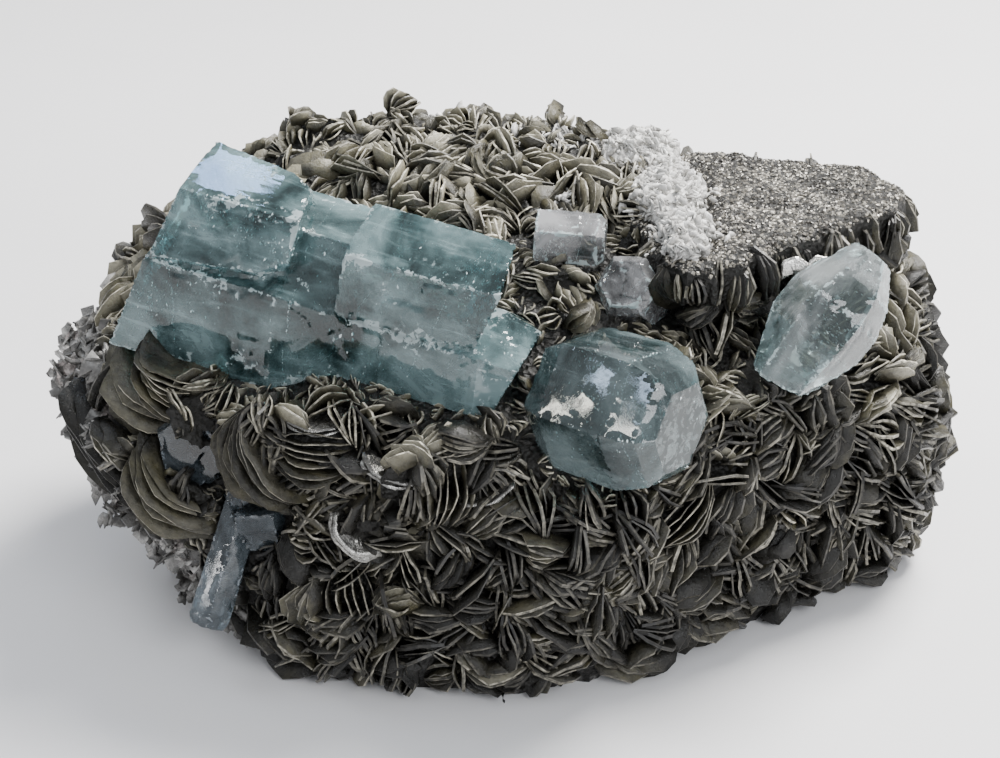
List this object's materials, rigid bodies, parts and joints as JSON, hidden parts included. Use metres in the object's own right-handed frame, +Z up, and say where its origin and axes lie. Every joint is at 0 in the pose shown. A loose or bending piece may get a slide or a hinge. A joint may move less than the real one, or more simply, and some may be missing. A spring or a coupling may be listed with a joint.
{
  "type": "muscovite specimen",
  "caption": "Block of bladed mica books with aquamarine prisms and pale quartz grown in it, a granular ledge at one end and a flat underside.",
  "frame": {"origin": "centre of the flat underside that the specimen stands on", "axes": "+X along the longest side, to the end with the granular ledge; +Z up, out of the underside; +Y to the back, away from the side with the crystals"},
  "size_m": [0.2012, 0.1297, 0.1054],
  "materials": {
    "muscovite_matrix": "pearly mica books, dark grey-brown with pale edges",
    "aquamarine_main": "cloudy translucent blue-green crystal",
    "aquamarine_centre": "translucent blue-green crystal",
    "aquamarine_right": "clear pale blue-green crystal",
    "aquamarine_lower": "clear grey-blue crystal",
    "aquamarine_left": "deep blue crystal, half buried",
    "quartz_pale": "cloudy pale quartz",
    "quartz_grey": "cloudy grey quartz",
    "albite": "white sugary crust"
  },
  "bodies": {
    "root": {"muscovite_matrix": "muscovite_matrix", "aquamarine_main": "aquamarine_main", "aquamarine_centre": "aquamarine_centre", "aquamarine_right": "aquamarine_right", "aquamarine_lower": "aquamarine_lower", "aquamarine_left": "aquamarine_left", "quartz_pale": "quartz_pale", "quartz_grey": "quartz_grey", "albite": "albite"}
  },
  "joints": []
}
